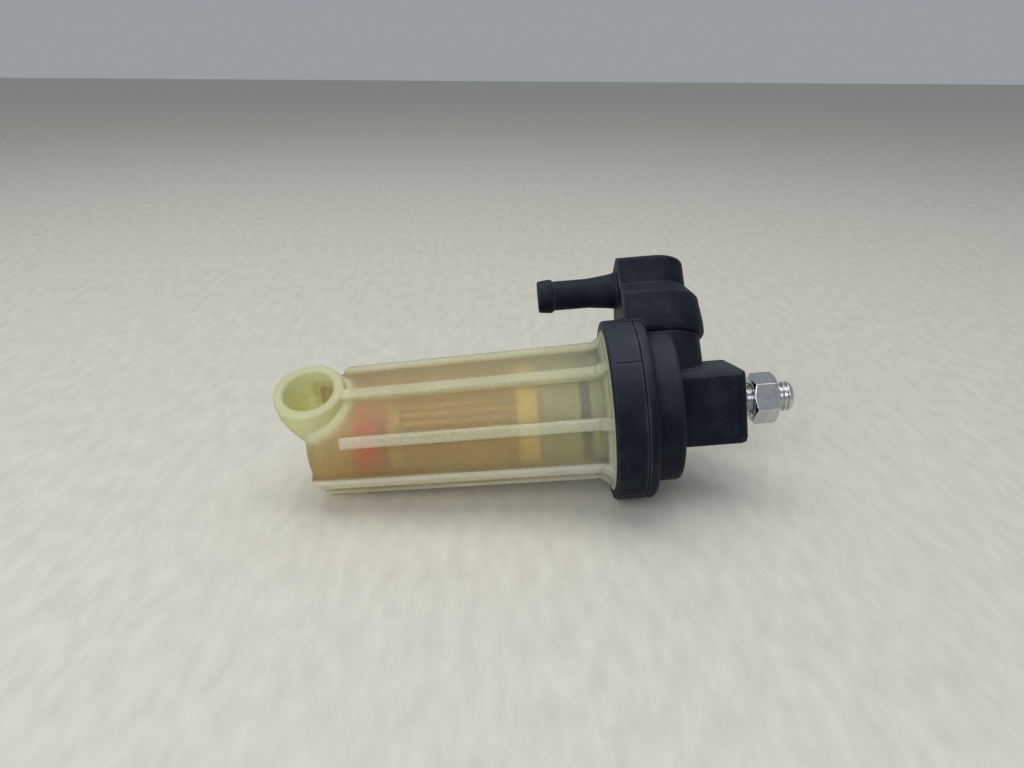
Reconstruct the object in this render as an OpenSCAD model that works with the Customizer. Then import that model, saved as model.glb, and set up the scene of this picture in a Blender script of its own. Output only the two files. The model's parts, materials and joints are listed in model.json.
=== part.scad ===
// In-line fuel filter and water separator for a small outboard engine.
// Units: mm. +X runs along the filter axis towards the mounting stud, +Z is up
// as the filter lies on a bench. Origin: centre of the block end face that the
// stud leaves. Roll angles turn a feature about the axis, measured from +Z
// towards the viewer's side (-Y).

/* [Overall layout] */
// Length of the bowl from its flange face to its closed end
bowl_len = 78.7; // [70:0.1:84]
// Length of the square block behind the stepped disc
block_len = 18; // [17:0.5:22]
// Width and height of the square block
block_w = 20.4; // [18:0.1:22]
// Roll of the block's top face
block_roll = -14; // [-20:1:20]
// Roll of the inlet port
port_roll = 26; // [20:1:32]
// Roll of the outlet column
column_roll = -36.5; // [-42:0.5:-30]

/* [Head] */
// Radius of the outer rim and retaining ring
rim_r = 24.2; // [24.1:0.1:26]
// Radius of the stepped disc
disc_r = 20; // [19:0.1:21]
// Axial thickness of the stepped disc
disc_t = 7; // [6:0.5:9]
// Axial thickness of the rim
rim_t = 3; // [2.5:0.1:4]
// Axial length of the retaining ring
ring_len = 8; // [7:0.5:10]

/* [Bowl] */
// Shell radius next to the flange
shell_r_open = 16.7; // [16.4:0.1:17]
// Shell radius at the closed end
shell_r_end = 15.3; // [15.1:0.1:15.8]
// Radius over the ribs next to the flange
rib_r_open = 18.8; // [18:0.1:19.5]
// Radius over the ribs at the closed end
rib_r_end = 17.3; // [16.6:0.1:18]
// Width of one rib
rib_w = 3.1; // [2.4:0.1:3.6]
// Number of ribs
rib_count = 8; // [6:1:10]
// Radius of the round inside of the bowl at the closed end
bowl_bore_r = 13.4; // [13:0.1:13.6]

/* [Inlet port] */
// Outer radius of the inlet port
port_r = 9.25; // [8.8:0.05:9.6]
// Radius of the inlet bore
port_bore_r = 6.65; // [6:0.05:6.9]
// Height of the port rim above the filter axis
port_h = 17.8; // [17:0.1:20]

/* [Outlet] */
// Radius of the collar on top of the neck
collar_r = 12.2; // [11.6:0.1:12.6]
// Radius of the cap above the collar
cap_r = 9.2; // [8.6:0.1:9.6]
// Radius of the neck under the collar
neck_r = 11.3; // [10.8:0.1:11.5]
// Height of the cap above the filter axis
cap_h = 40.4; // [39:0.1:44]
// Height of the hose barb above the filter axis
barb_h = 33.9; // [33.5:0.1:34.5]
// Length of the hose barb from the flat face
barb_len = 22; // [18:0.5:26]
// Radius of the hose barb behind its bead
barb_r = 4.1; // [4:0.05:4.3]
// Radius of the bead at the hose barb's tip
bead_r = 4.75; // [4.6:0.05:5]

/* [Fasteners] */
// Thread radius of the mounting stud
stud_r = 4; // [4:0.5:4]
// Length of the stud beyond the block
stud_len = 14; // [13:0.5:18]
// Gap between the block and the nut
nut_gap = 2.8; // [2:0.1:3.5]
// Width across flats of the nut
nut_af = 12; // [12:1:13]
// Thickness of the nut
nut_t = 6.5; // [6:0.1:7]

/* [Filter element] */
// Outer radius of the pleated paper
media_r = 12.6; // [11:0.1:12.7]
// Number of pleats
pleats = 36; // [24:1:40]
// Depth of the grooves between the pleats
pleat_depth = 1.6; // [0.8:0.1:3]
// Outer radius of the water float ring
float_r = 9.3; // [9:0.1:9.6]
// Axial length of the water float ring
float_len = 7.1; // [6:0.1:8]

/* [Hidden] */
$fn = 96;
fit = 0.1;                             // assembly gap between fixed pieces
face_gap = 0.05;                       // gap between stacked fixed faces

x_disc = -block_len;                   // disc face towards the block
x_rim = x_disc - disc_t;               // rim face towards the block
x_ring = x_rim - rim_t;                // seam between rim and retaining ring
x_ring_end = x_ring - ring_len;        // ring edge towards the bowl
x_flange = x_ring_end - 0.3;           // visible face of the bowl flange
x_end = x_flange - bowl_len;           // closed end of the bowl

flange_r = 21.6;
flange_step_r = 22.7;
flange_step_x = x_ring_end + 1.9;
flange_back_x = x_flange + 4.1;
bowl_wall = 1.9;
bowl_open_r = 14.7;
bowl_step_x = x_flange - 28;           // bore widens from here to the flange
end_wall = 2.2;
rib_cut_x = x_end + 9;                 // ribs beside the port stop here
rib_pitch = 360 / rib_count;
rib_edge = 0.8;                        // rounding of the ribs' long edges
slit_rolls = [37, 134, 217, 314];      // where the ring's slits stand

port_x = x_end + 1.8;
port_floor = 5;

column_x = -20;
flat_x = -30;                          // common flat face of collar and cap
collar_base = 17.8;
collar_top = 29.4;
cap_base = 32.4;
socket_r = 8;
socket_top = 27.6;
column_bore_r = 2.9;
passage_r = 3.4;
barb_bore_r = 2.6;

sleeve_r = 13.9;
sleeve_bore_r = 11.2;
sleeve_x0 = x_flange - 17.9;
sleeve_x1 = x_ring + 2;
o_ring_x = x_flange - 6;
o_ring_t = 1.2;

cap_up_x0 = sleeve_x0 - 5.8;
media_x0 = cap_up_x0 - 31.5;
cap_low_x0 = media_x0 - 2.4;
core_r = 6;
core_bore_r = 5.1;
plug_r = sleeve_bore_r - fit;

float_x1 = cap_low_x0 - 3.1;
float_drop = bowl_bore_r - float_r - 0.12;

nut_roll = 34;                         // how far the nut stands turned
pitch = 1.25;
thread_depth = 0.68;
thread_turns = 10;
stud_head_af = 13;
stud_head_t = 5.3;
stud_head_x = -12.5;

dark = [0.16, 0.18, 0.21];
nylon = [0.83, 0.85, 0.66, 0.55];
steel = [0.78, 0.79, 0.80];
amber = [0.80, 0.62, 0.35];
rubber = [0.09, 0.09, 0.10];

// Which piece to show

// ---- helpers -------------------------------------------------------------

// Revolves a profile given as [radius, x] about the filter axis.
module about_axis() {
    rotate([0, 90, 0]) rotate_extrude() children();
}

// Points of a quarter round from angle a0 to a1 about a centre.
function arc(cx, cy, r, a0, a1, n = 4) =
    [for (i = [0 : n]) let (a = a0 + (a1 - a0) * i / n)
        [cx + r * cos(a), cy + r * sin(a)]];

// Cylinder along +X from x0 to x1.
module x_rod(r, x0, x1) {
    translate([x0, 0, 0]) rotate([0, 90, 0]) cylinder(r = r, h = x1 - x0);
}

// Turns a shape drawn upright (+Z outward) to a roll angle about the axis.
module at_roll(angle) {
    rotate([angle, 0, 0]) children();
}

// Rib tip radius and shell radius at any x.
function along_bowl(x, r_end, r_open) =
    r_end + (r_open - r_end) * (x - x_end) / bowl_len;

// Torus of a sealing ring about the filter axis.
module o_ring(r, x, t) {
    translate([x, 0, 0]) rotate([0, 90, 0])
        rotate_extrude() translate([r, 0]) circle(r = t, $fn = 48);
}

// ---- bowl ----------------------------------------------------------------

module bowl_shell() {
    edge = 2.2;
    sweep = 3;
    about_axis() polygon(concat(
        [[0, x_end]],
        arc(shell_r_end - edge, x_end + edge, edge, -90, 0, 5),
        [[along_bowl(x_flange - sweep, shell_r_end, shell_r_open), x_flange - sweep]],
        arc(shell_r_open + sweep, x_flange - sweep, sweep, 180, 90, 5),
        arc(flange_r - 0.5, x_flange + 0.5, 0.5, -90, 0, 2),
        [[flange_r, flange_step_x], [flange_step_r, flange_step_x],
         [flange_step_r, flange_back_x], [0, flange_back_x]]));
}

// Flat plate as wide as a rib, from a side outline given as [x, radius].
module rib_plate(outline) {
    rotate([90, 0, 0]) linear_extrude(height = rib_w, center = true) polygon(outline);
}

// One rib drawn upright: rounded down to the shell at its end, with rounded long
// edges, and flaring out square where it meets the flange.
module rib(x_start) {
    foot_r = shell_r_end - 3;
    round_r = 2;
    flare_x = x_flange - 3;
    tip = along_bowl(x_start, rib_r_end, rib_r_open);
    flare_tip = along_bowl(flare_x, rib_r_end, rib_r_open);
    intersection() {
        rib_plate(concat([[x_start, foot_r]],
            arc(x_start + round_r, tip - round_r, round_r, 180, 90, 4),
            [[flare_x, flare_tip], [flare_x, foot_r]]));
        rib_section(x_start - 1);
    }
    rib_plate([[flare_x - 0.3, foot_r], [flare_x - 0.3, flare_tip - rib_edge],
        [flare_x + 0.6, flare_tip], [x_flange - 1.2, rib_r_open + 0.6],
        [x_flange + 0.4, rib_r_open + 2.2], [x_flange + 0.4, foot_r]]);
}

// Long bar with rounded upper edges that follows the ribs' slope.
module rib_section(x_start) {
    depth = 8;
    half = rib_w / 2 + 0.01;
    slope = atan((rib_r_open - rib_r_end) / bowl_len);
    translate([x_start, 0, along_bowl(x_start, rib_r_end, rib_r_open)])
        rotate([0, -slope, 0]) rotate([90, 0, 90]) linear_extrude(height = bowl_len + 3)
            polygon(concat([[-half, -depth], [half, -depth]],
                arc(half - rib_edge, -rib_edge, rib_edge, 0, 90, 3),
                arc(-half + rib_edge, -rib_edge, rib_edge, 90, 180, 3)));
}

module bowl_ribs() {
    for (i = [0 : rib_count - 1]) {
        roll = block_roll + i * rib_pitch;
        beside_port = abs(roll - port_roll) < 60;
        at_roll(roll) rib(beside_port ? rib_cut_x : x_end + 0.1);
    }
}

// Egg-cup shaped boss of the inlet port, drawn upright.
module port_boss() {
    lip = 0.8;
    translate([port_x, 0, 0]) rotate_extrude() polygon(concat(
        [[0, -3], [4.2, -2.2], [5.6, 0.5], [6.6, 3.4], [7.7, 6.6], [8.6, 9.6], [port_r, 13]],
        arc(port_r - lip, port_h - lip, lip, 0, 90, 3),
        [[0, port_h]]));
}

module port_bore() {
    lip = 0.4;
    translate([port_x, 0, 0]) rotate_extrude() polygon([
        [0, port_floor - 2], [3.5, port_floor - 1.4], [port_bore_r - 0.8, port_floor + 0.6],
        [port_bore_r, port_floor + 3], [port_bore_r, port_h - lip],
        [port_bore_r + lip, port_h + 0.01], [0, port_h + 0.01]]);
}

module bowl_cavity() {
    round_r = 2;
    about_axis() polygon(concat(
        [[0, x_end + end_wall]],
        arc(bowl_bore_r - round_r, x_end + end_wall + round_r, round_r, -90, 0, 4),
        [[bowl_bore_r, bowl_step_x - 14], [bowl_open_r - 0.3, bowl_step_x],
         [bowl_open_r, x_flange], [bowl_open_r, flange_back_x + 1],
         [0, flange_back_x + 1]]));
}

module bowl() {
    color(nylon) difference() {
        union() {
            bowl_shell();
            bowl_ribs();
            at_roll(port_roll) port_boss();
        }
        bowl_cavity();
        at_roll(port_roll) port_bore();
    }
}

// ---- ring and head -------------------------------------------------------

module retaining_ring() {
    lip_r = flange_r + fit;
    skirt_r = flange_step_r + fit;
    edge = 0.9;
    slit_w = 0.35;
    slit_depth = 0.7;
    color(dark) difference() {
        about_axis() polygon(concat(
            [[lip_r, x_ring_end]],
            arc(rim_r - edge, x_ring_end + edge, edge, -90, 0, 3),
            [[rim_r, x_ring - 0.25], [rim_r - 0.3, x_ring - face_gap],
             [skirt_r, x_ring - face_gap], [skirt_r, flange_step_x - fit],
             [lip_r, flange_step_x - fit]]));
        for (roll = slit_rolls)
            at_roll(roll)
                translate([x_ring_end + 1.6, -slit_w / 2, rim_r - slit_depth])
                    cube([ring_len, slit_w, 4]);
    }
}

// Rounded outline of rim and disc as [radius, x], down to the axis.
function flange_edge(gap = 0) =
    let (rim_edge = 1.6, disc_edge = 1.2)
        concat(arc(rim_r - rim_edge, x_rim - rim_edge, rim_edge + gap, 0, 90, 4),
            [[disc_r + gap, x_rim + gap]],
            arc(disc_r - disc_edge, x_disc - disc_edge, disc_edge + gap, 0, 90, 3),
            [[0, x_disc + gap]]);

module head_flange() {
    plug = flange_step_r - 0.3;
    about_axis() polygon(concat(
        [[0, flange_back_x + face_gap], [plug, flange_back_x + face_gap], [plug, x_ring],
         [rim_r - 0.3, x_ring], [rim_r, x_ring + 0.25]],
        flange_edge()));
}

// Square block with rounded long edges and a rounded outer end.
module block() {
    r = 2.8;
    end_r = 3;
    intersection() {
        rotate([0, 90, 0]) translate([0, 0, x_disc - 2]) linear_extrude(height = block_len + 2)
            rounded_square(block_w, r);
        rotate([90, 0, 0]) linear_extrude(height = block_w + 2, center = true)
            block_side(end_r);
        linear_extrude(height = block_w + 2, center = true)
            block_side(end_r);
    }
}

module block_side(end_r) {
    h = block_w / 2;
    polygon(concat([[x_disc - 3, -h - 1], [-end_r, -h - 1]],
        arc(-end_r, -h + end_r, end_r, -90, 0, 4),
        arc(-end_r, h - end_r, end_r, 0, 90, 4),
        [[-end_r, h + 1], [x_disc - 3, h + 1]]));
}

module rounded_square(w, r) {
    h = w / 2 - r;
    polygon(concat(arc(h, h, r, 0, 90, 4), arc(-h, h, r, 90, 180, 4),
        arc(-h, -h, r, 180, 270, 4), arc(h, -h, r, 270, 360, 4)));
}

// Upright solid with one round side (+X) and a flat at flat_x; the profile is
// a list of [half width, height] from bottom to top.
module round_backed(profile) {
    top = profile[len(profile) - 1][1];
    base = profile[0][1];
    half = concat([[0, base]], profile, [[0, top]]);
    full = concat(profile, [for (i = [len(profile) - 1 : -1 : 0]) [-profile[i][0], profile[i][1]]]);
    translate([column_x, 0, 0]) {
        rotate([0, 0, -90]) rotate_extrude(angle = 180) polygon(half);
        rotate([90, 0, -90]) linear_extrude(height = column_x - flat_x) polygon(full);
    }
}

module head_neck() {
    intersection() {
        round_backed([[neck_r, 4], [neck_r, collar_base - face_gap]]);
        translate([x_ring + 0.6, -50, 0]) cube([100, 100, 60]);
    }
    translate([column_x, 0, 0]) cylinder(r = socket_r - fit, h = socket_top - fit);
}

module head() {
    color(dark) difference() {
        union() {
            head_flange();
            at_roll(block_roll) block();
            at_roll(column_roll) head_neck();
        }
        x_rod(sleeve_r + fit, flange_back_x - 1, sleeve_x1);
        x_rod(sleeve_bore_r, sleeve_x1 - 1, x_rim + 3);
        x_rod(passage_r, x_rim + 2, column_x + 2);
        at_roll(column_roll) translate([column_x, 0, 0]) {
            translate([0, 0, -1]) cylinder(r = column_bore_r, h = 40);
            outlet_seal_groove();
        }
        stud_pocket();
    }
}

module outlet_seal_groove() {
    translate([0, 0, socket_top - 3.6]) difference() {
        cylinder(r = socket_r + 1, h = 1.9);
        translate([0, 0, -1]) cylinder(r = socket_r - 1.5, h = 4);
    }
}

module outlet_seal() {
    color(rubber) at_roll(column_roll)
        translate([column_x, 0, socket_top - 2.65])
            rotate_extrude() translate([socket_r - 0.78, 0]) circle(r = 0.7, $fn = 32);
}

module inner_sleeve() {
    groove_r = sleeve_r - 1.8;
    color([0.70, 0.68, 0.60]) difference() {
        x_rod(sleeve_r, sleeve_x0, sleeve_x1 - face_gap);
        x_rod(sleeve_bore_r, sleeve_x0 - 1, sleeve_x1 + 1);
        translate([o_ring_x, 0, 0]) difference() {
            x_rod(sleeve_r + 1, -1.3, 1.3);
            x_rod(groove_r, -2, 2);
        }
    }
}

module bowl_seal() {
    color(rubber) o_ring(bowl_open_r - o_ring_t - 0.16, o_ring_x, o_ring_t);
}

// ---- outlet --------------------------------------------------------------

module elbow_body() {
    edge = 1.3;
    low_edge = 1.7;
    low_r = collar_r + 0.6;
    round_backed(concat(
        arc(low_r - low_edge, collar_base + low_edge, low_edge, -90, 0, 4),
        [[low_r, collar_base + 4], [collar_r, collar_top - 0.8],
         [collar_r - 0.5, collar_top], [cap_r + 0.7, cap_base - 0.8], [cap_r, cap_base]],
        arc(cap_r - edge, cap_h - edge, edge, 0, 90, 4)));
}

module hose_barb() {
    tip_x = flat_x - barb_len;
    bead_len = 4;
    translate([0, 0, barb_h]) rotate([0, 90, 0]) rotate_extrude() polygon([
        [0, tip_x], [bead_r - 0.65, tip_x], [bead_r - 0.35, tip_x + 0.3],
        [bead_r, tip_x + bead_len - 0.7], [bead_r - 0.15, tip_x + bead_len],
        [barb_r, tip_x + bead_len + 0.5], [barb_r, flat_x - 8],
        [barb_r + 0.55, flat_x - 3], [barb_r + 0.85, flat_x - 1],
        [barb_r + 1.4, flat_x], [barb_r + 1.4, flat_x + 0.5], [0, flat_x + 0.5]]);
}

module outlet_elbow() {
    notch_w = 0.35;
    color(dark) at_roll(column_roll) difference() {
        union() {
            elbow_body();
            hose_barb();
        }
        // room over the retaining ring, the rim and the disc
        about_axis() polygon(concat([[0, x_ring_end - 5], [rim_r + fit, x_ring_end - 5]],
            flange_edge(fit)));
        // socket over the neck's spigot
        translate([column_x, 0, collar_base - 1])
            cylinder(r = socket_r, h = socket_top - collar_base + 1);
        translate([column_x, 0, collar_base]) cylinder(r = column_bore_r, h = barb_h - collar_base);
        translate([0, 0, barb_h]) x_rod(barb_bore_r, flat_x - barb_len - 1, column_x);
        // short moulding notch on the collar's straight side
        translate([flat_x + 1.4, -collar_r - 1, rim_r])
            cube([notch_w, 0.8, 3.2]);
    }
}

// ---- filter element ------------------------------------------------------

module element_upper_cap() {
    rim = 14.0;
    edge = 0.5;
    color(amber) difference() {
        union() {
            about_axis() polygon([[0, cap_up_x0], [rim - edge, cap_up_x0],
                [rim, cap_up_x0 + edge], [rim, sleeve_x0 - edge - face_gap],
                [rim - edge, sleeve_x0 - face_gap], [0, sleeve_x0 - face_gap]]);
            x_rod(plug_r, sleeve_x0 - 1, sleeve_x0 + 5);
        }
        x_rod(core_bore_r, cap_up_x0 - 1, sleeve_x0 + 6);
        // recess for the end of the pleated paper
        difference() {
            x_rod(media_r + fit, cap_up_x0 - 1, cap_up_x0 + 1.2);
            x_rod(core_r + fit, cap_up_x0 - 2, cap_up_x0 + 2);
        }
        x_rod(core_r + fit, cap_up_x0 - 1, cap_up_x0 + 1.2);
        translate([sleeve_x0 + 2.6, 0, 0]) difference() {
            x_rod(plug_r + 1, -0.95, 0.95);
            x_rod(plug_r - 1.5, -2, 2);
        }
    }
}

module element_seal() {
    color(rubber) o_ring(plug_r - 0.75, sleeve_x0 + 2.6, 0.72);
}

module filter_paper() {
    inner = core_r + 0.35;
    crest = media_r - 0.1;
    root = crest - pleat_depth;
    step = 360 / pleats;
    color(amber) translate([media_x0 + face_gap, 0, 0]) rotate([0, 90, 0])
        linear_extrude(height = cap_up_x0 + 1.1 - media_x0 - face_gap) difference() {
            polygon([for (i = [0 : pleats - 1], j = [0 : 3])
                let (a = (i + [0, 0.62, 0.74, 0.88][j]) * step, r = [crest, crest, root, root][j])
                    [r * cos(a), r * sin(a)]]);
            circle(r = inner);
        }
}

module element_core() {
    rows = 5;
    holes = 6;
    first = media_x0 + 4;
    row_pitch = 5.6;
    color(dark) difference() {
        x_rod(core_r, media_x0 + face_gap, cap_up_x0 + 1.1);
        x_rod(core_bore_r, media_x0 - 1, cap_up_x0 + 2);
        for (row = [0 : rows - 1], h = [0 : holes / 2 - 1])
            translate([first + row * row_pitch, 0, 0])
                rotate([h * 360 / holes + row * 30, 0, 0])
                    cylinder(r = 1.5, h = 2 * core_r + 2, center = true, $fn = 24);
    }
}

module element_lower_cap() {
    lip_r = media_r + 0.5;
    lip_h = 1.6;
    color(amber) difference() {
        about_axis() polygon([[0, cap_low_x0], [lip_r - 0.5, cap_low_x0], [lip_r, cap_low_x0 + 0.5],
            [lip_r, media_x0 + lip_h], [0, media_x0 + lip_h]]);
        x_rod(media_r + fit, media_x0, media_x0 + lip_h + 1);
    }
}

// The float lies loose on the bottom of the bowl.
module float_ring() {
    bore = 5.2;
    edge = 0.7;
    color([0.75, 0.10, 0.10]) translate([float_x1 - float_len, 0, -float_drop])
        rotate([0, 90, 0]) rotate_extrude() polygon([
            [bore, edge], [bore + edge, 0], [float_r - edge, 0], [float_r, edge],
            [float_r, float_len - edge], [float_r - edge, float_len],
            [bore + edge, float_len], [bore, float_len - edge]]);
}

// ---- fasteners -----------------------------------------------------------

// Pocket for the hexagonal head and shank moulded into the block.
module stud_pocket() {
    gap = 0.03;
    at_roll(block_roll) {
        translate([stud_head_x - gap, 0, 0]) rotate([0, 90, 0])
            cylinder(r = (stud_head_af / 2 + gap) / cos(30), h = stud_head_t + 2 * gap, $fn = 6);
        x_rod(stud_r + gap, stud_head_x + 1, 1);
    }
}

module mounting_stud() {
    root = stud_r - thread_depth;
    start = stud_len - 1.4 - thread_turns * pitch;
    color(steel) {
        at_roll(block_roll) translate([stud_head_x, 0, 0]) rotate([0, 90, 0])
            cylinder(r = stud_head_af / 2 / cos(30), h = stud_head_t, $fn = 6);
        about_axis() polygon(concat(
            [[0, stud_head_x + 1], [stud_r, stud_head_x + 1], [stud_r, start]],
            [for (i = [0 : thread_turns - 1], j = [0 : 3])
                [[stud_r, root, root, stud_r][j], start + (i + [0.06, 0.42, 0.54, 0.90][j]) * pitch]],
            arc(stud_r - 1.9, stud_len - 1.9, 1.9, 20, 90, 4),
            [[0, stud_len]]));
    }
}

module hex_nut() {
    corner = nut_af / 2 / cos(30);
    slope = (corner - nut_af / 2) * 0.62;
    bore = stud_r + 0.06;
    color(steel) translate([nut_gap, 0, 0]) rotate([0, 90, 0]) difference() {
        intersection() {
            rotate([0, 0, nut_roll]) cylinder(r = corner, h = nut_t, $fn = 6);
            rotate_extrude() polygon([[0, 0], [nut_af / 2 - 0.1, 0], [corner + 0.05, slope + 0.1],
                [corner + 0.05, nut_t - slope - 0.1], [nut_af / 2 - 0.1, nut_t], [0, nut_t]]);
        }
        rotate_extrude() polygon([[0, -1], [bore + 0.6 + 1, -1], [bore, 0.6], [bore, nut_t - 0.6],
            [bore + 0.6 + 1, nut_t + 1], [0, nut_t + 1]]);
    }
}

bowl();
retaining_ring();
head();
inner_sleeve();
bowl_seal();
outlet_elbow();
outlet_seal();
element_upper_cap();
element_seal();
filter_paper();
element_core();
element_lower_cap();
float_ring();
mounting_stud();
hex_nut();
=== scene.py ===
"""Outboard fuel filter: materials, floor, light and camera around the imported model.

The frame is in metres: +X along the filter axis towards the mounting stud,
+Z up, -Y towards the side that shows the inlet port.
"""
import json
import math

import bpy
from mathutils import Euler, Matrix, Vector

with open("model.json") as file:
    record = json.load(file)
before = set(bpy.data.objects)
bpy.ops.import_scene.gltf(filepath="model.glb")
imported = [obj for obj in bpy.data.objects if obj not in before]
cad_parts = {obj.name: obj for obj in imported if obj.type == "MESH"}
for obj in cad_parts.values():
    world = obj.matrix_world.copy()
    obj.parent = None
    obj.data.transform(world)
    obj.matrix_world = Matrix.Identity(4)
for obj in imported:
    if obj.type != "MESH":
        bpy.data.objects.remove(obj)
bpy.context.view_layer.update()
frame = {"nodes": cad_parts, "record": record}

MM = 0.001
nodes = frame["nodes"]
scene = bpy.context.scene

# the bowl: its two ends along X, with the shell's outer radius at each
BOWL_END_X, BOWL_END_R = -0.115, 0.0154
BOWL_OPEN_X, BOWL_OPEN_R = -0.036, 0.0168
RIB_START, RIB_FULL = 0.0001, 0.0014       # height over the shell that counts as rib
LINING_R, LINING_FULL_R = 0.0147, 0.0137   # radii between outside and inside wall

# the inlet port: its axis along the bowl, and its lean from upright towards -Y
PORT_X = -0.1132
PORT_ROLL = math.radians(26)
PORT_EDGE_R, PORT_FULL_R = 0.0128, 0.0098  # radii where the boss's colour starts and is full
BORE_EDGE_R, BORE_FULL_R = 0.0080, 0.0070  # the same for its bore

# what the filter rests on
RING_LOW = Vector((-0.0352, 0.0, -0.0242))
END_LOW = Vector((-0.1132, 0.0, -0.01705))
FLOOR_SIZE = 6.0

CAMERA_PLACE = Vector((-55.1, -197.4, 92.7)) * MM
CAMERA_TURN = (67.17, 4.86, -0.37)         # degrees
LENS = 28.1                                # mm, on a 36 mm wide sensor


# ---------------------------------------------------------------- node helpers

class Mat:
    """A procedural material with short calls for its nodes."""

    def __init__(self, name):
        self.mat = bpy.data.materials.new(name)
        self.mat.use_nodes = True
        self.tree = self.mat.node_tree
        self.tree.nodes.clear()
        self.out = self.add("ShaderNodeOutputMaterial")
        self.bsdf = self.add("ShaderNodeBsdfPrincipled")
        self.link(self.bsdf.outputs["BSDF"], self.out.inputs["Surface"])
        self.coord = self.add("ShaderNodeTexCoord").outputs["Object"]

    def add(self, kind, **props):
        node = self.tree.nodes.new(kind)
        for key, value in props.items():
            setattr(node, key, value)
        return node

    def link(self, a, b):
        self.tree.links.new(a, b)

    def set(self, **values):
        for key, value in values.items():
            self.bsdf.inputs[key.replace("_", " ")].default_value = value

    def mapped(self, scale=(1, 1, 1)):
        node = self.add("ShaderNodeMapping")
        node.inputs["Scale"].default_value = scale
        self.link(self.coord, node.inputs["Vector"])
        return node.outputs["Vector"]

    def noise(self, size, detail=3.0, rough=0.55, stretch=(1, 1, 1)):
        """Noise whose features are about size metres across."""
        node = self.add("ShaderNodeTexNoise")
        node.inputs["Scale"].default_value = 1.0 / size
        node.inputs["Detail"].default_value = detail
        node.inputs["Roughness"].default_value = rough
        self.link(self.mapped(scale=stretch), node.inputs["Vector"])
        return node.outputs["Fac"]

    def ramp(self, fac, stops):
        """Colour ramp over stops given as (position, colour)."""
        node = self.add("ShaderNodeValToRGB")
        elements = node.color_ramp.elements
        while len(elements) < len(stops):
            elements.new(0.5)
        for element, (pos, colour) in zip(elements, stops):
            element.position = pos
            element.color = (*colour, 1.0)
        self.link(fac, node.inputs["Fac"])
        return node.outputs["Color"]

    def math(self, op, a, b=None, clamp=False):
        node = self.add("ShaderNodeMath", operation=op, use_clamp=clamp)
        for i, value in enumerate((a, b)):
            if value is None:
                continue
            if isinstance(value, (int, float)):
                node.inputs[i].default_value = value
            else:
                self.link(value, node.inputs[i])
        return node.outputs["Value"]

    def span(self, value, lo, hi, out_lo=0.0, out_hi=1.0, smooth=True):
        """Maps lo..hi to out_lo..out_hi, held at both ends."""
        node = self.add("ShaderNodeMapRange", clamp=True)
        node.interpolation_type = "SMOOTHSTEP" if smooth else "LINEAR"
        self.link(value, node.inputs["Value"])
        numbers = {"From Min": lo, "From Max": hi, "To Min": out_lo, "To Max": out_hi}
        for key, number in numbers.items():
            node.inputs[key].default_value = number
        return node.outputs["Result"]

    def mix(self, fac, a, b):
        """Colour a where fac is 0, and b where it is 1."""
        node = self.add("ShaderNodeMix", data_type="RGBA")
        for socket, value in ((node.inputs[0], fac), (node.inputs[6], a), (node.inputs[7], b)):
            if isinstance(value, (int, float)):
                socket.default_value = value
            elif isinstance(value, tuple):
                socket.default_value = (*value, 1.0)
            else:
                self.link(value, socket)
        return node.outputs[2]

    def xyz(self):
        node = self.add("ShaderNodeSeparateXYZ")
        self.link(self.coord, node.inputs["Vector"])
        return node.outputs["X"], node.outputs["Y"], node.outputs["Z"]

    def soft_normal(self, radius):
        """The normal as if the edges were rounded by radius."""
        bevel = self.add("ShaderNodeBevel", samples=6)
        bevel.inputs["Radius"].default_value = radius
        return bevel.outputs["Normal"]

    def edges(self, radius=0.0006, flat=0.98, sharp=0.80):
        """1 on edges, 0 on flat faces."""
        geo = self.add("ShaderNodeNewGeometry")
        dot = self.add("ShaderNodeVectorMath", operation="DOT_PRODUCT")
        self.link(self.soft_normal(radius), dot.inputs[0])
        self.link(geo.outputs["Normal"], dot.inputs[1])
        return self.span(dot.outputs["Value"], flat, sharp)

    def upward(self):
        """How far the surface faces up, from -1 to 1."""
        geo = self.add("ShaderNodeNewGeometry")
        split = self.add("ShaderNodeSeparateXYZ")
        self.link(geo.outputs["Normal"], split.inputs["Vector"])
        return split.outputs["Z"]

    def distance(self, a, b):
        squares = self.math("MULTIPLY", a, a), self.math("MULTIPLY", b, b)
        return self.math("SQRT", self.math("ADD", *squares))

    def port_masks(self, x, y, z):
        """1 on the inlet port and its boss, and 1 down inside its bore."""
        side, up = math.sin(PORT_ROLL), math.cos(PORT_ROLL)
        height = self.math("SUBTRACT", self.math("MULTIPLY", z, up), self.math("MULTIPLY", y, side))
        across = self.math("ADD", self.math("MULTIPLY", y, up), self.math("MULTIPLY", z, side))
        off = self.math("SUBTRACT", x, PORT_X)
        from_axis = self.distance(off, across)
        near_boss = self.span(from_axis, PORT_EDGE_R, PORT_FULL_R)
        near_bore = self.span(from_axis, BORE_EDGE_R, BORE_FULL_R)
        boss = self.math("MULTIPLY", near_boss, self.span(height, -0.006, 0.003))
        bore = self.math("MULTIPLY", near_bore, self.span(height, 0.0172, 0.0100))
        return boss, self.math("MULTIPLY", boss, bore)

    def bump(self, height, strength=0.3, distance=0.0001, normal=None):
        node = self.add("ShaderNodeBump")
        node.inputs["Strength"].default_value = strength
        node.inputs["Distance"].default_value = distance
        self.link(height, node.inputs["Height"])
        if normal is not None:
            self.link(normal, node.inputs["Normal"])
        return node.outputs["Normal"]

    def colour(self, socket):
        self.link(socket, self.bsdf.inputs["Base Color"])

    def rough(self, socket):
        self.link(socket, self.bsdf.inputs["Roughness"])

    def normal(self, socket):
        self.link(socket, self.bsdf.inputs["Normal"])


# ------------------------------------------------------------------- materials

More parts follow.
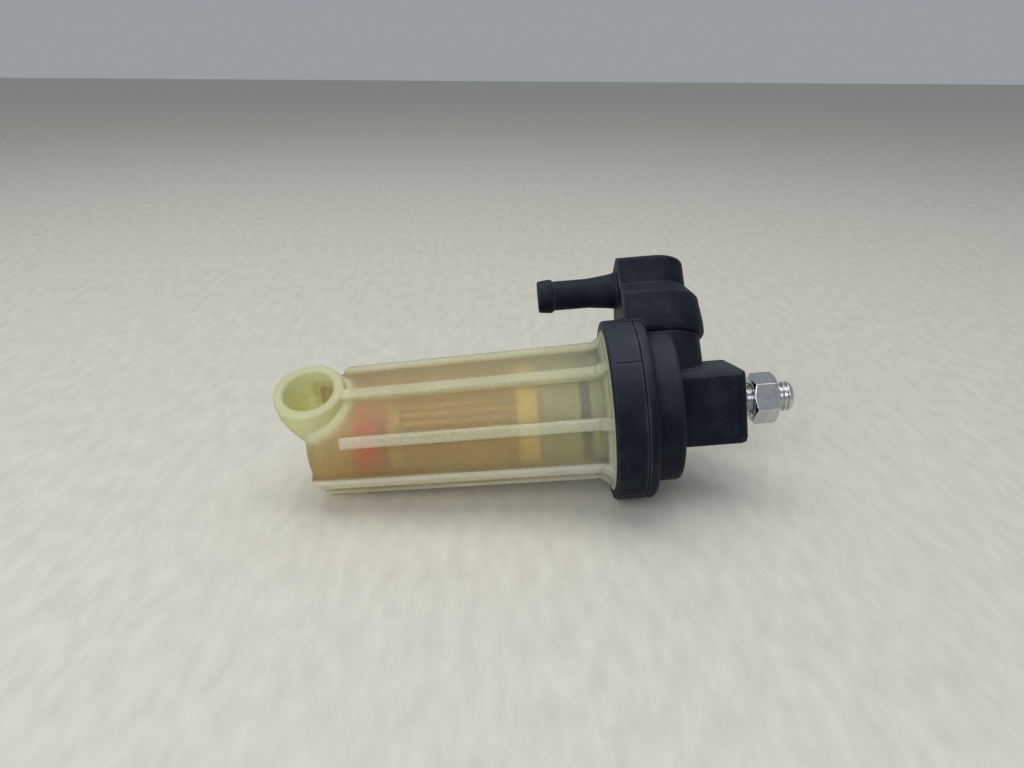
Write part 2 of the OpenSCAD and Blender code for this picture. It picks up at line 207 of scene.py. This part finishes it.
def bowl_nylon():
    """Frosted nylon: stained tan on the panels, cleaner and greener on ribs and port, with painted
    light making the lower ribs paler.
    """
    m = Mat("bowl_nylon")
    m.set(IOR=1.45, Specular_IOR_Level=0.4)
    x, y, z = m.xyz()
    radius = m.distance(y, z)
    along = m.span(x, BOWL_END_X, BOWL_OPEN_X, smooth=False)
    shell = m.span(x, BOWL_END_X, BOWL_OPEN_X, BOWL_END_R, BOWL_OPEN_R, smooth=False)
    proud = m.span(m.math("SUBTRACT", radius, shell), RIB_START, RIB_FULL)
    port, port_inside = m.port_masks(x, y, z)
    lining = m.span(radius, LINING_R, LINING_FULL_R)
    clean = m.math("MAXIMUM", proud, port)
    cloud = m.noise(0.011, detail=4.0)
    fine = m.noise(0.0005, detail=2.0, rough=0.65)

    low = m.ramp(along, [
        (0.00, (0.79, 0.56, 0.17)), (0.15, (0.84, 0.62, 0.25)), (0.50, (0.90, 0.73, 0.37)),
        (0.80, (0.88, 0.78, 0.48)), (1.00, (0.84, 0.86, 0.66))])
    high = m.ramp(along, [
        (0.00, (0.86, 0.65, 0.36)), (0.50, (0.88, 0.74, 0.43)),
        (0.75, (0.86, 0.79, 0.52)), (1.00, (0.82, 0.85, 0.65))])
    stain = m.mix(m.span(z, -0.008, 0.006), low, high)
    stain = m.mix(m.span(cloud, 0.35, 0.65, 0.0, 0.30), stain, (0.88, 0.80, 0.56))
    rib = m.ramp(cloud, [(0.3, (0.66, 0.67, 0.45)), (0.7, (0.75, 0.76, 0.55))])
    # painted light: the lower ribs are painted paler, standing in for the light they catch from the
    # front and through the plastic
    rib = m.mix(m.span(z, 0.012, -0.010, 0.0, 0.95), rib, (0.96, 0.94, 0.78))
    base = m.mix(proud, stain, rib)
    base = m.mix(lining, base, (0.91, 0.77, 0.44))
    base = m.mix(port, base, (0.86, 0.88, 0.56))
    base = m.mix(port_inside, base, (0.90, 0.90, 0.40))
    with_pale_edges = m.mix(m.math("MULTIPLY", m.edges(0.0007), 0.3), base, (0.86, 0.87, 0.70))
    grain = m.mix(m.span(fine, 0.34, 0.50, 0.34, 0.0), with_pale_edges, (0.46, 0.40, 0.22))
    speck = m.math("MULTIPLY", m.span(fine, 0.56, 0.66), m.span(cloud, 0.40, 0.6, 0.35, 1.0))
    m.colour(m.mix(speck, grain, (0.95, 0.94, 0.86)))

    m.link(m.span(clean, 0.0, 1.0, 0.90, 0.58), m.bsdf.inputs["Transmission Weight"])
    m.set(Subsurface_Weight=0.6, Subsurface_Radius=(1.0, 0.95, 0.55), Subsurface_Scale=0.004)
    m.rough(m.span(fine, 0.3, 0.7, 0.44, 0.60))
    m.normal(m.bump(fine, strength=0.5, distance=0.00006, normal=m.soft_normal(0.0008)))
    return m.mat


def black_nylon(name="black_nylon", top_dusting_and_light=0.65):
    """Blue-black moulding: fine grain, dusting and painted top light on what faces up, edges
    painted paler as a painted highlight.
    """
    m = Mat(name)
    m.set(Specular_IOR_Level=0.12)
    speck = m.noise(0.00035, detail=2.0, rough=0.7)
    cloud = m.noise(0.006, detail=4.0)
    base = m.ramp(speck, [(0.40, (0.0014, 0.0031, 0.0090)), (0.68, (0.0065, 0.010, 0.020))])
    # painted light: what faces up is painted paler, partly dusting and partly the light from above
    top_dusting_and_light_mask = m.span(m.upward(), 0.35, 1.0, 0.0, top_dusting_and_light)
    bloom = m.span(cloud, 0.42, 0.72, 0.0, 0.20)
    dusted_and_top_lit = m.mix(m.math("ADD", top_dusting_and_light_mask, bloom, clamp=True), base, (0.041, 0.051, 0.066))
    # painted highlight: the edges are painted paler, standing in for the highlight the light lays
    # along them
    painted_edge_highlight = m.math("MULTIPLY", m.edges(0.0012, 0.99, 0.88), m.span(cloud, 0.3, 0.7, 0.35, 0.8))
    with_pale_edges = m.mix(painted_edge_highlight, dusted_and_top_lit, (0.080, 0.092, 0.110))
    m.colour(m.mix(m.span(speck, 0.66, 0.76, 0.0, 0.5), with_pale_edges, (0.10, 0.11, 0.125)))
    m.rough(m.span(speck, 0.35, 0.7, 0.46, 0.62))
    m.normal(m.bump(speck, strength=0.45, distance=0.00007, normal=m.soft_normal(0.0005)))
    return m.mat


def grey_nylon():
    """Matt greyish sleeve behind the bowl's wall."""
    m = Mat("grey_nylon")
    cloud = m.noise(0.004)
    m.colour(m.ramp(cloud, [(0.3, (0.38, 0.37, 0.30)), (0.7, (0.46, 0.45, 0.37))]))
    m.set(Roughness=0.55)
    m.normal(m.bump(m.noise(0.0005), strength=0.2, distance=0.00004))
    return m.mat


def seal_rubber():
    """Dull dark grey O-ring rubber."""
    m = Mat("seal_rubber")
    grain = m.noise(0.0004)
    m.colour(m.ramp(grain, [(0.3, (0.040, 0.040, 0.038)), (0.7, (0.075, 0.075, 0.070))]))
    m.set(Roughness=0.7)
    m.normal(m.bump(grain, strength=0.2, distance=0.00004))
    return m.mat


def element_cap():
    """Golden plastic of the element's upper cap."""
    m = Mat("element_cap")
    cloud = m.noise(0.005)
    m.colour(m.ramp(cloud, [(0.3, (0.82, 0.67, 0.34)), (0.7, (0.89, 0.75, 0.43))]))
    m.set(Roughness=0.45)
    m.normal(m.bump(m.noise(0.0006), strength=0.15, distance=0.00004))
    return m.mat


def filter_paper():
    """Tan pleated paper with fibres along the axis and brown stains."""
    m = Mat("filter_paper")
    fibre = m.noise(0.0007, detail=5.0, rough=0.65, stretch=(0.3, 1, 1))
    stain = m.noise(0.012, detail=3.0)
    base = m.ramp(fibre, [(0.3, (0.58, 0.46, 0.22)), (0.7, (0.72, 0.58, 0.31))])
    m.colour(m.mix(m.span(stain, 0.45, 0.7, 0.0, 0.4), base, (0.50, 0.36, 0.16)))
    m.set(Roughness=0.9)
    m.normal(m.bump(fibre, strength=0.4, distance=0.0001))
    return m.mat


def float_red():
    """Red plastic of the water float."""
    m = Mat("float_red")
    cloud = m.noise(0.003)
    m.colour(m.ramp(cloud, [(0.3, (0.72, 0.015, 0.02)), (0.7, (0.82, 0.04, 0.04))]))
    m.set(Roughness=0.4)
    m.normal(m.bump(m.noise(0.0008), strength=0.1, distance=0.00004))
    return m.mat


def stainless():
    """Satin stainless with a fine turned grain and edges painted brighter as a painted highlight.
    """
    m = Mat("stainless")
    m.set(Metallic=1.0)
    streak = m.noise(0.0003, detail=3.0, stretch=(0.25, 1, 1))
    cloud = m.noise(0.002)
    base = m.ramp(cloud, [(0.3, (0.55, 0.55, 0.57)), (0.7, (0.70, 0.70, 0.72))])
    # painted highlight: edges painted near-white, standing in for the light the chamfers catch
    m.colour(m.mix(m.math("MULTIPLY", m.edges(0.0003), 0.8), base, (0.95, 0.95, 0.96)))
    m.rough(m.span(streak, 0.3, 0.7, 0.14, 0.24))
    m.normal(m.bump(streak, strength=0.06, distance=0.00002, normal=m.soft_normal(0.00035)))
    return m.mat


def end_cap():
    """Tan plastic of the element's lower cap."""
    m = Mat("end_cap")
    cloud = m.noise(0.004)
    m.colour(m.ramp(cloud, [(0.3, (0.52, 0.40, 0.19)), (0.7, (0.62, 0.48, 0.25))]))
    m.set(Roughness=0.5)
    m.normal(m.bump(m.noise(0.0006), strength=0.15, distance=0.00004))
    return m.mat


SLOT_MATERIALS = {
    "bowl_nylon": bowl_nylon(),
    "black_nylon": black_nylon(),
    "grey_nylon": grey_nylon(),
    "seal_rubber": seal_rubber(),
    "element_cap": element_cap(),
    "filter_paper": filter_paper(),
    "float_red": float_red(),
    "stainless": stainless(),
}

NODE_MATERIALS = {
    "element_lower_cap": end_cap(),
    "outlet_elbow": black_nylon("elbow_nylon", top_dusting_and_light=0.30),
}

for entry in frame["record"]["subparts"]:
    obj = nodes[entry["node"]]
    obj.data.materials.clear()
    obj.data.materials.append(
        NODE_MATERIALS.get(entry["node"]) or SLOT_MATERIALS[entry["material_slot"]])


# ------------------------------------------------------------- floor and light

def floor_material():
    """Pale floor with a faint grain."""
    m = Mat("pale_floor")
    grain = m.noise(0.004, detail=6.0, stretch=(1, 0.35, 1))
    blotch = m.noise(0.05, detail=4.0)
    base = m.ramp(grain, [(0.3, (0.59, 0.57, 0.505)), (0.7, (0.68, 0.66, 0.585))])
    m.colour(m.mix(m.span(blotch, 0.4, 0.7, 0.0, 0.25), base, (0.64, 0.61, 0.54)))
    m.set(Roughness=0.8, Specular_IOR_Level=0.2)
    m.normal(m.bump(grain, strength=0.15, distance=0.0003))
    return m.mat


def make_floor():
    """A floor through the ring's lowest point and the bowl's closed end."""
    tilt = math.atan2(RING_LOW.z - END_LOW.z, RING_LOW.x - END_LOW.x)
    bpy.ops.mesh.primitive_plane_add(
        size=FLOOR_SIZE, location=RING_LOW, rotation=(0.0, -tilt, 0.0))
    floor = bpy.context.object
    floor.name = "floor"
    floor.data.materials.append(floor_material())


def area_light(name, location, target, size, power, colour=(1, 1, 1)):
    data = bpy.data.lights.new(name, "AREA")
    data.shape = "RECTANGLE"
    data.size, data.size_y = size
    data.energy = power
    data.color = colour
    light = bpy.data.objects.new(name, data)
    light.location = location
    aim = Vector(target) - Vector(location)
    light.rotation_euler = aim.to_track_quat("-Z", "Y").to_euler()
    scene.collection.objects.link(light)


def make_lights():
    world = bpy.data.worlds.new("studio")
    world.use_nodes = True
    background = world.node_tree.nodes["Background"]
    background.inputs["Color"].default_value = (0.87, 0.94, 1.0, 1.0)
    background.inputs["Strength"].default_value = 0.36
    scene.world = world
    centre = (-0.05, 0.0, 0.0)
    area_light("key", (-0.02, 0.05, 0.80), centre, (0.9, 0.6), 3.5, (1.0, 0.985, 0.95))
    area_light("window", (-0.30, -0.60, 0.45), centre, (0.6, 0.4), 3.0, (0.96, 0.98, 1.0))


def make_camera():
    data = bpy.data.cameras.new("camera")
    data.sensor_width = 36.0
    data.lens = LENS
    camera = bpy.data.objects.new("camera", data)
    camera.location = CAMERA_PLACE
    camera.rotation_euler = Euler([math.radians(angle) for angle in CAMERA_TURN], "XYZ")
    data.clip_start = 0.01
    scene.collection.objects.link(camera)
    scene.camera = camera


make_floor()
make_lights()
make_camera()

scene.view_settings.view_transform = "Standard"
scene.view_settings.look = "None"
scene.view_settings.exposure = 0.0

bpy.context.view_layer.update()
